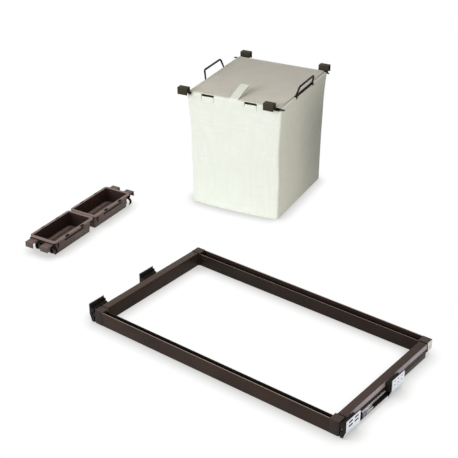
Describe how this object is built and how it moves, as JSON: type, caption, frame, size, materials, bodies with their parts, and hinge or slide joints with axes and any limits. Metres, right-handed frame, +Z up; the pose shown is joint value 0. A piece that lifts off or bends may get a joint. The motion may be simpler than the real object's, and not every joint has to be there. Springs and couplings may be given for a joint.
{
  "type": "pull-out laundry basket",
  "caption": "Pull-out laundry kit for a cabinet: dark frame on soft-close slides, lidded fabric basket on hooks, and a hanging set of small trays.",
  "frame": {"origin": "under the middle of the whole kit's box, on the floor it stands on", "axes": "+X along the frame's long side, to the right as seen from the front; -Y is the way the frame pulls out; +Z up"},
  "size_m": [1.3518, 1.204, 0.4323],
  "materials": {
    "frame_profile": "dark brown powder coat, satin",
    "cap_plastic": "dark brown moulded plastic",
    "black_plastic": "black moulded plastic",
    "seal_rubber": "matt black",
    "zinc_plate": "bright zinc plate",
    "slide_steel": "bright zinc plate",
    "ball_steel": "polished",
    "screw_steel": "zinc plate",
    "bag_fabric": "non-woven fabric with a fine cross hatch",
    "sleeve_fabric": "folded non-woven fabric",
    "board": "stiff board",
    "lid_board": "stiff panel covered in plain fabric",
    "coated_wire": "dark brown coated steel wire",
    "hook_plastic": "dark brown moulded plastic",
    "tray_plastic": "taupe moulded plastic",
    "tray_hook_plastic": "taupe moulded plastic"
  },
  "bodies": {
    "cabinet_fittings": {"right_cabinet_member": "slide_steel", "left_cabinet_member": "slide_steel", "right_front_bracket": "zinc_plate", "left_front_bracket": "zinc_plate", "right_rear_bracket": "zinc_plate", "left_rear_bracket": "zinc_plate", "right_front_packer": "black_plastic", "left_front_packer": "black_plastic", "right_rear_packer": "black_plastic", "left_rear_packer": "black_plastic", "right_mounting_strip": "slide_steel", "left_mounting_strip": "slide_steel", "slide_rivets": "screw_steel", "right_damper_housing": "black_plastic", "left_damper_housing": "black_plastic"},
    "frame": {"front_rail": "frame_profile", "rear_rail": "frame_profile", "right_rail": "frame_profile", "left_rail": "frame_profile", "front_right_cap": "cap_plastic", "front_left_cap": "cap_plastic", "rear_right_cap": "cap_plastic", "rear_left_cap": "cap_plastic", "corner_seals": "seal_rubber", "corner_screws": "screw_steel", "right_drawer_member": "slide_steel", "left_drawer_member": "slide_steel", "trigger_pins": "screw_steel"},
    "left_middle_slide": {"left_middle_member": "slide_steel", "left_ball_cages": "black_plastic", "left_slide_balls": "ball_steel"},
    "left_latch": {"left_latch_carriage": "black_plastic", "left_damper_rod": "slide_steel"},
    "right_middle_slide": {"right_middle_member": "slide_steel", "right_ball_cages": "black_plastic", "right_slide_balls": "ball_steel"},
    "right_latch": {"right_latch_carriage": "black_plastic", "right_damper_rod": "slide_steel"},
    "lid": {"lid_panel": "lid_board", "pull_tab": "sleeve_fabric"},
    "left_carry_handle": {"left_handle": "coated_wire"},
    "right_carry_handle": {"right_handle": "coated_wire"},
    "front_tray_body": {"front_tray": "tray_plastic", "front_tray_tabs": "black_plastic"},
    "rear_tray_body": {"rear_tray": "tray_plastic", "rear_tray_tabs": "black_plastic"},
    "basket": {"bag": "bag_fabric", "base_board": "board", "rod_sleeves": "sleeve_fabric", "front_rod": "coated_wire", "rear_rod": "coated_wire", "side_wires": "coated_wire", "front_left_hook": "hook_plastic", "front_right_hook": "hook_plastic", "rear_left_hook": "hook_plastic", "rear_right_hook": "hook_plastic"},
    "tray_set": {"tray_carrier": "black_plastic", "front_tray_hooks": "tray_hook_plastic", "rear_tray_hooks": "tray_hook_plastic", "ring_clips": "black_plastic"}
  },
  "joints": [
    {"name": "frame_slide", "type": "slide", "parent": "cabinet_fittings", "child": "frame", "axis": [0, -1, 0], "range_m": [0, 0.4]},
    {"name": "left_middle_slide_travel", "type": "slide", "parent": "cabinet_fittings", "child": "left_middle_slide", "axis": [0, -1, 0], "range_m": [0, 0.2]},
    {"name": "right_middle_slide_travel", "type": "slide", "parent": "cabinet_fittings", "child": "right_middle_slide", "axis": [0, -1, 0], "range_m": [0, 0.2]},
    {"name": "left_latch_travel", "type": "slide", "parent": "cabinet_fittings", "child": "left_latch", "axis": [0, -1, 0], "range_m": [0, 0.035], "stiffness_N_per_m": 120, "springref_m": -0.01},
    {"name": "right_latch_travel", "type": "slide", "parent": "cabinet_fittings", "child": "right_latch", "axis": [0, -1, 0], "range_m": [0, 0.035], "stiffness_N_per_m": 120, "springref_m": -0.01},
    {"name": "basket_lift", "type": "slide", "parent": "cabinet_fittings", "child": "basket", "axis": [0, 0, 1], "range_m": [0, 0.45]},
    {"name": "lid_hinge", "type": "hinge", "parent": "basket", "child": "lid", "pos_m": [-0.35398, 0.53899, 0.40155], "axis": [-0.9799, -0.1994, 0], "range_deg": [0, 100]},
    {"name": "left_handle_fold", "type": "hinge", "parent": "basket", "child": "left_carry_handle", "pos_m": [-0.47782, 0.33011, 0.395], "axis": [0.1994, -0.9799, 0], "range_deg": [-4, 85]},
    {"name": "right_handle_fold", "type": "hinge", "parent": "basket", "child": "right_carry_handle", "pos_m": [-0.15836, 0.3951, 0.395], "axis": [-0.1994, 0.9799, 0], "range_deg": [-4, 85]},
    {"name": "tray_set_lift", "type": "slide", "parent": "cabinet_fittings", "child": "tray_set", "axis": [0, 0, 1], "range_m": [0, 0.3]},
    {"name": "front_tray_lift", "type": "slide", "parent": "tray_set", "child": "front_tray_body", "axis": [0, 0, 1], "range_m": [0, 0.08]},
    {"name": "rear_tray_lift", "type": "slide", "parent": "tray_set", "child": "rear_tray_body", "axis": [0, 0, 1], "range_m": [0, 0.08]}
  ],
  "couplings": [
    {"joint": "left_middle_slide_travel", "follows": "frame_slide", "ratio": 0.5},
    {"joint": "right_middle_slide_travel", "follows": "frame_slide", "ratio": 0.5}
  ]
}
